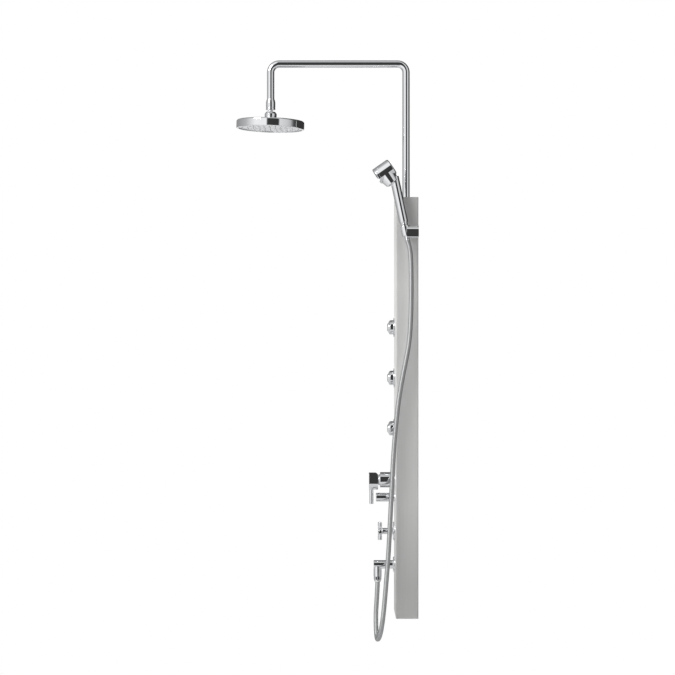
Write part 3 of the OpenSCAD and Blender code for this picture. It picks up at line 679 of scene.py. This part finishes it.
def make_mixer_handle(frame_on_face, pivot):
    """The hub with the lever that hangs from it."""
    back, front = 0.0510, 0.0780
    body = [(0, front), *reversed(face_ring(0.0105, front, depth=0.0004, half=0.0005, corner=0.0003)),
            (HUB_HALF - 0.0005, front, 0.0002), (HUB_HALF, front - 0.0005, 0.0002),
            (HUB_HALF, back + 0.0004, 0.0002), (HUB_HALF - 0.0004, back, 0.0002), (0.0149, back)]
    hollow = arc_points(0.0174, 31, 90, (0, pivot), count=16)
    mesh = bmesh.new()
    add_lathe(mesh, Matrix.Identity(4), [*rounded(body, 0.0006), *(Vector(p[:2]) for p in hollow)],
              steps=192, reach=hub_reach)
    bevel_hub(mesh, back)
    bmesh.ops.transform(mesh, matrix=frame_on_face, verts=mesh.verts)
    radius, length, lever_out = 0.0060, 0.072, 0.0705
    lever = [(0, 0.010), (radius, 0.010), (radius, length - 0.0013, 0.0015),
             (radius - 0.0008, length, 0.001), (0, length)]
    at_lever = frame_on_face @ Matrix.Translation((0, 0, lever_out)) @ downwards
    add_lathe(mesh, at_lever, rounded(lever, 0.001))
    piece("mixer_handle_look", mesh, CHROME, "mixer_lever", ["mixer_handle"])


def make_mixer():
    frame_on_face = on_face(centre("mixer_dome").z)
    pivot = 0.042
    make_mixer_dome(frame_on_face, pivot)
    make_mixer_handle(frame_on_face, pivot)


# ---- Diverter, volume valve and outlet ----


def make_diverter():
    """A turning knob in front of a fixed collar of the same width."""
    frame_on_face = on_face(centre("diverter_collar").z)
    bore, radius, front = 0.0101, 0.0130, 0.0570
    collar = [(bore, 0), (radius, 0),
              *groove(radius, 0.0215, 0.0233, depth=0.0004, slope=0.0004, corner=0.0002),
              (radius, 0.0260), (bore, 0.0260), (bore, 0)]
    turned_piece("diverter_collar_look", frame_on_face, collar, "panel", radius=0.0004)
    mesh = bmesh.new()
    knob = [(0, 0.0265), (radius - 0.0005, 0.0265, 0.0003), (radius, 0.0270, 0.0003),
            (radius, front - 0.0010, 0.0008), (radius - 0.0010, front, 0.0008),
            *face_ring(0.0072, front, depth=0.0003, half=0.0003, corner=0.0002), (0, front)]
    add_lathe(mesh, frame_on_face, rounded(knob, 0.0006))
    dot = [(0, 0.0005), (0.0016, 0.0005, 0.0004), (0.0018, -0.0010), (0, -0.0010)]
    at_dot = frame_on_face @ Matrix.Translation((0, radius, 0.0450)) @ turned(-90, "X")
    add_lathe(mesh, at_dot, rounded(dot, 0.0004), steps=32)
    piece("diverter_knob_look", mesh, CHROME, "diverter", ["diverter_knob"])


def make_volume_valve():
    """A rose on the panel and a cross handle with four spokes."""
    frame_on_face = on_face(centre("valve_escutcheon").z)
    bore, rose_radius = 0.0101, 0.0280
    rose = [(bore, 0), (rose_radius, 0), (rose_radius, 0.0040, 0.0006), (0.0255, 0.0064, 0.0014),
            (bore, 0.0080, 0.0004), (bore, 0)]
    turned_piece("valve_escutcheon_look", frame_on_face, rose, "panel")
    mesh = bmesh.new()
    back, front, stem_bore, stem_end, radius = 0.010, 0.0510, 0.00505, 0.040, 0.0105
    hub = [(stem_bore, back), (0.0090, back), (0.0090, 0.0375, 0.0015), (radius, 0.0395, 0.0010),
           (radius, front - 0.0010, 0.0010), (radius - 0.0010, front, 0.0008),
           *face_ring(0.0064, front, depth=0.0004, half=0.0004, corner=0.0003), (0, front),
           (0, stem_end), (stem_bore, stem_end), (stem_bore, back)]
    add_lathe(mesh, frame_on_face, rounded(hub, 0.0006))
    spokes, spokes_out = 4, 0.045
    spoke = [(0, 0.004), (0.0055, 0.004), (0.0055, 0.0125, 0.002), (0.0062, 0.0150, 0.002),
             (0.0062, 0.0250, 0.0012), (0.0052, 0.0265, 0.0010), (0, 0.0265)]
    for k in range(spokes):
        along = turned(360 / spokes * k, "Z") @ turned(90, "Y")
        add_lathe(mesh, frame_on_face @ Matrix.Translation((0, 0, spokes_out)) @ along,
                  rounded(spoke, 0.001), steps=64)
    piece("cross_handle_look", mesh, CHROME, "volume_valve", ["cross_handle"])


def make_outlet_rose():
    """The rose of the hose's outlet; the elbow in front of it is the CAD node."""
    frame_on_face = on_face(centre("outlet_escutcheon").z)
    bore, radius = 0.0126, 0.0245
    rose = [(bore, 0), (radius, 0), (radius, 0.0025, 0.0008), (0.0210, 0.0060, 0.0020),
            (bore, 0.0070, 0.0004), (bore, 0)]
    turned_piece("outlet_escutcheon_look", frame_on_face, rose, "panel")


# ---- Hand shower ----


def make_cradle():
    """A C-shaped sleeve, open at the front so that the hose can pass."""
    low, high, outer, half_opening = -0.015, 0.013, 0.015, 0.008
    edge, play, steps = 0.0009, 0.0004, 72

    def bore(z):
        return cone_radius(z) + play

    outline = [(bore(low) + edge, low), (outer - edge, low), (outer, low + edge), (outer, high - edge),
               (outer - edge, high), (bore(high) + edge, high), (bore(high), high - edge),
               (bore(low), low + edge)]
    mesh = bmesh.new()
    rings = []
    for k in range(steps + 1):
        ring = []
        for radius, z in outline:
            half_gap = math.asin(min(1, half_opening / radius))
            a = -math.pi / 2 + half_gap + (2 * math.pi - 2 * half_gap) * k / steps
            ring.append(mesh.verts.new(on_handle @ Vector((radius * math.cos(a), radius * math.sin(a), z))))
        rings.append(ring)
    for one, two in zip(rings, rings[1:]):
        for k in range(len(outline)):
            n = (k + 1) % len(outline)
            mesh.faces.new([one[k], one[n], two[n], two[k]])
    mesh.faces.new(rings[0])
    mesh.faces.new(rings[-1])
    piece("holder_cradle_look", mesh, CHROME, "panel", ["holder_cradle"], sharp=50)


DRUM_RADIUS, DRUM_HALF = 0.025, 0.027       # the hand shower's drum and half its depth


def make_handset_handle():
    """The grip, which narrows into the hose's nut, and the neck that meets the drum."""
    length, radius = 0.161, 0.0135
    neck_top, sunk = 0.0060, 0.0002
    mesh = bmesh.new()
    neck = [(0.0240, neck_top), (0.0200, 0.0400, 0.0030), (0.0170, 0.0430, 0.0020), (0, 0.0430)]
    add_lathe(mesh, Matrix.Identity(4), rounded(neck, 0.001), steps=128)
    for vert in mesh.verts:
        if vert.co.z < neck_top + 0.0005:       # the neck's upper rim follows the drum
            vert.co.z = math.sqrt((DRUM_RADIUS - sunk) ** 2 - vert.co.x ** 2)
    bmesh.ops.transform(mesh, matrix=on_drum @ turned(90, "X"), verts=mesh.verts)
    grip = [(0, 0.006), (0.0079, 0.006), (0.0079, 0.0165), (0.0110, 0.0170, 0.0004),
            (0.0117, 0.0205, 0.0003), (0.0113, 0.0210, 0.0002), (0.0113, 0.0220, 0.0002),
            (0.0120, 0.0225, 0.0003), (radius, 0.0265, 0.004), (radius, length - 0.0015, 0.0014),
            (radius - 0.0015, length, 0.0010), (0, length)]
    add_lathe(mesh, on_handle, rounded(grip, 0.0005))
    piece("handset_handle_look", mesh, CHROME, "handset", ["handset_handle"])


def make_handset_drum():
    """A cup with its open end towards the bather, and a fine groove near its rim."""
    radius, half, wall_radius = DRUM_RADIUS, DRUM_HALF, 0.0210
    outline = [(0, -half), (radius - 0.0025, -half, 0.0018), (radius, -half + 0.0025, 0.0018),
               *groove(radius, half - 0.0078, half - 0.0060, depth=0.0005, slope=0.0004, corner=0.0002),
               (radius, half - 0.0015, 0.0008), (radius - 0.0012, half, 0.0006), (0.0230, half, 0.0004),
               (0.0226, half - 0.0030), (0.0226, half - 0.005), (wall_radius, half - 0.005),
               (wall_radius, -half + 0.003), (0, -half + 0.003)]
    turned_piece("handset_head_look", on_drum, outline, "handset", radius=0.0005, steps=128)


def make_handset_face():
    """The soft spray face with its rings of nubs."""
    half = DRUM_HALF
    mesh = bmesh.new()
    plate = [(0, half - 0.005), (0.0224, half - 0.005), (0.0224, half - 0.0026, 0.0004),
             (0.0216, half - 0.0020, 0.0004), (0, half - 0.0020)]
    add_lathe(mesh, on_drum, rounded(plate, 0.0003))
    nub = rounded([(0.0013, half - 0.0025), (0.0012, half - 0.0018, 0.0003),
                   (0.0008, half - 0.0002, 0.0003), (0.0005, half - 0.0002, 0.0001),
                   (0.0004, half - 0.0008), (0, half - 0.0009)], 0.0001, arc=2)
    for place in nozzle_places(rings=3, step=0.006):
        if place.length > 0:        # the middle stays plain
            add_lathe(mesh, on_drum @ Matrix.Translation(place), nub, steps=20)
    piece("handset_face_look", mesh, RUBBER, "handset", ["handset_face"])


# ---- CAD nodes that stay ----

KEPT = {
    "panel_shell": STEEL, "top_cap": STEEL, "bottom_cap": STEEL,
    "upper_hanger_rail": ZINC, "lower_hanger_rail": ZINC,
    "upper_wall_bracket": ZINC, "lower_wall_bracket": ZINC,
    "diverter_spindle": ZINC, "valve_spindle": ZINC,
    "rain_face_plate": SATIN,
    "riser_locknut": BRASS, "riser_fitting": BRASS, "jet_locknuts": BRASS,
    "jet_housing_1": BRASS, "jet_housing_2": BRASS, "jet_housing_3": BRASS,
    "mixer_locknut": BRASS, "cartridge_nut": BRASS, "mixer_stem": BRASS,
    "riser_supply_pipe": BRASS, "jets_supply_pipe": BRASS, "link_pipes": BRASS,
    "swivel_ring": PLASTIC, "jet_ring_1": PLASTIC, "jet_ring_2": PLASTIC, "jet_ring_3": PLASTIC,
    "mixer_cartridge": PLASTIC, "cartridge_carrier": PLASTIC,
    "ball_gasket": RUBBER,
    "holder_body": CHROME, "outlet_elbow": CHROME, "mixer_body": CHROME,
    "diverter_body": CHROME, "valve_body": CHROME,
}


def finish_cad_nodes():
    """Gives the CAD nodes that are shown their materials, plating and soft edges."""
    for name, material in KEPT.items():
        data = frame["nodes"][name].data
        data.materials.clear()
        data.materials.append(material)
    for name in ("mixer_body", "outlet_elbow", "diverter_body", "valve_body"):
        plate_casting(name)
    for name in ("holder_body", "outlet_elbow"):
        soften_edges(name, 0.0007)


def soften_edges(name, width):
    """Bevels a CAD node's sharp edges."""
    edges = frame["nodes"][name].modifiers.new("soft_edges", "BEVEL")
    edges.width, edges.segments, edges.limit_method = width, 3, "ANGLE"
    edges.angle_limit = math.radians(40)
    edges.harden_normals = True


def plate_casting(name):
    """Only what stands in front of the panel is plated; the casting behind it stays brass."""
    slack = 0.0005
    data = frame["nodes"][name].data
    data.materials.append(BRASS)
    for polygon in data.polygons:
        behind = min(data.vertices[v].co.y for v in polygon.vertices) > face_y - slack
        polygon.material_index = 1 if behind else 0


# ---- Studio ----


def smooth_band(tree, value, low, high, soft):
    """1 between two values, falling softly to 0 outside them."""
    rise = wire(tree, "MapRange", {"Value": value, "From Min": low - soft, "From Max": low + soft},
                interpolation_type="SMOOTHSTEP").outputs["Result"]
    fall = wire(tree, "MapRange", {"Value": value, "From Min": high - soft, "From Max": high + soft,
                                   "To Min": 1.0, "To Max": 0.0},
                interpolation_type="SMOOTHSTEP").outputs["Result"]
    return calc(tree, "MULTIPLY", rise, fall)


# Brightness of the room round the horizon, by azimuth from -180 to 180 degrees: +X is 0 and +Y is 90
HORIZON = [(-180, 0.05), (-162, 0.30), (-130, 0.36), (-90, 0.52), (-50, 1.0), (-12, 1.0), (34, 0.80),
           (60, 0.68), (74, 0.52), (86, 0.12), (96, 0.04), (150, 0.04), (180, 0.05)]


def brightness_round(tree, azimuth):
    """The horizon's brightness at an azimuth, as a colour ramp that goes once round."""
    ramp = wire(tree, "ValToRGB", {0: calc(tree, "MULTIPLY_ADD", azimuth, 1 / 360, 0.5)})
    stops = ramp.color_ramp.elements
    stops[0].position, stops[1].position = 0, 1
    for k, (degrees, level) in enumerate(HORIZON):
        stop = stops.new(degrees / 360 + 0.5) if 0 < k < len(HORIZON) - 1 else stops[0 if k == 0 else -1]
        stop.color = (level, level, level, 1)
    return ramp.outputs["Color"]


# The room's dark column on the camera's side and its lit floor on the far side, in degrees
COLUMN_AZIMUTH, COLUMN_ELEVATION, COLUMN_DARKNESS = (-10, 32), (-38, 55), 0.95
BEHIND_AZIMUTH, BEHIND_ELEVATION, BEHIND_LEVEL = (165, 200), (-40, -2), 0.85
LEVEL_ELEVATION = (-68, 68)         # beyond these, floor and ceiling take over from the horizon
FLOOR_LEVEL, CEILING_LEVEL = 0.85, 0.50


def make_studio():
    """A room for the metal to reflect: bright in front of the panel and dark towards the wall, with
    a dark column on the camera's side and a lit floor opposite. The camera sees plain white."""
    world = bpy.data.worlds.new("studio")
    bpy.context.scene.world = world
    world.use_nodes = True
    tree = world.node_tree
    look = wire(tree, "SeparateXYZ", {0: wire(tree, "TexCoord").outputs["Generated"]})
    x, y, z = (look.outputs[k] for k in range(3))
    to_degrees = 180 / math.pi
    azimuth = calc(tree, "MULTIPLY", calc(tree, "ARCTAN2", y, x), to_degrees)
    elevation = calc(tree, "MULTIPLY", calc(tree, "ARCSINE", z), to_degrees)
    column = calc(tree, "MULTIPLY", smooth_band(tree, azimuth, *COLUMN_AZIMUTH, soft=3),
                  smooth_band(tree, elevation, *COLUMN_ELEVATION, soft=4))
    level = smooth_band(tree, elevation, *LEVEL_ELEVATION, soft=14)
    sky = spread(tree, elevation, FLOOR_LEVEL, CEILING_LEVEL, -60, 60)
    light = wire(tree, "Mix", {0: level, 2: sky, 3: brightness_round(tree, azimuth)}).outputs[0]
    off_front = calc(tree, "ABSOLUTE", azimuth)
    behind = calc(tree, "MULTIPLY", smooth_band(tree, off_front, *BEHIND_AZIMUTH, soft=5),
                  smooth_band(tree, elevation, *BEHIND_ELEVATION, soft=2))
    behind = calc(tree, "MULTIPLY", behind, BEHIND_LEVEL)
    light = calc(tree, "MAXIMUM", light, behind)
    keep = calc(tree, "MULTIPLY_ADD", column, -COLUMN_DARKNESS, 1.0)
    light = calc(tree, "MULTIPLY", light, keep)
    room = wire(tree, "Background", {"Color": (1, 1, 1, 1), "Strength": light}).outputs[0]
    plain = wire(tree, "Background", {"Color": (1, 1, 1, 1), "Strength": 1.0}).outputs[0]
    seen = wire(tree, "LightPath").outputs["Is Camera Ray"]
    mix = wire(tree, "MixShader", {0: seen, 1: room, 2: plain}).outputs[0]
    tree.links.new(mix, tree.nodes["World Output"].inputs["Surface"])
    bpy.context.scene.view_settings.view_transform = "Standard"


def make_light(name, place, aim, size, power):
    """A square soft light, aimed at a point."""
    lamp = bpy.data.lights.new(name, "AREA")
    lamp.shape, lamp.size, lamp.energy = "SQUARE", size, power
    made = bpy.data.objects.new(name, lamp)
    made.location = place
    made.rotation_euler = (Vector(aim) - Vector(place)).to_track_quat("-Z", "Y").to_euler()
    bpy.context.scene.collection.objects.link(made)


def make_floor():
    """A plain pale floor below the column, out of the photograph's view."""
    half_size, drop = 2.2, 0.55
    material, tree, shader = new_material("floor", Roughness=0.9)
    grain = noise(tree, stretched(tree), 12)
    tree.links.new(tint(tree, grain, (0.93, 0.93, 0.93), (0.96, 0.96, 0.96)), shader.inputs["Base Color"])
    mesh = bmesh.new()
    bmesh.ops.create_grid(mesh, x_segments=4, y_segments=4, size=half_size)
    data = bpy.data.meshes.new("floor")
    mesh.to_mesh(data)
    mesh.free()
    data.materials.append(material)
    floor = bpy.data.objects.new("floor", data)
    floor.location = (0, 0, cad_box[0].z - drop)
    bpy.context.scene.collection.objects.link(floor)


make_camera()
make_hose()
make_gooseneck()
make_riser_collar()
make_ball_stem()
make_swivel_nut()
make_rain_head()
make_rain_nozzles()
for jet in (1, 2, 3):
    make_jet(jet)
make_mixer()
make_diverter()
make_volume_valve()
make_outlet_rose()
make_cradle()
make_handset_handle()
make_handset_drum()
make_handset_face()
finish_cad_nodes()
make_studio()
make_light("key", place=(3.0, -3.5, 2.6), aim=(0, -0.2, -0.3), size=2.0, power=165)
make_floor()
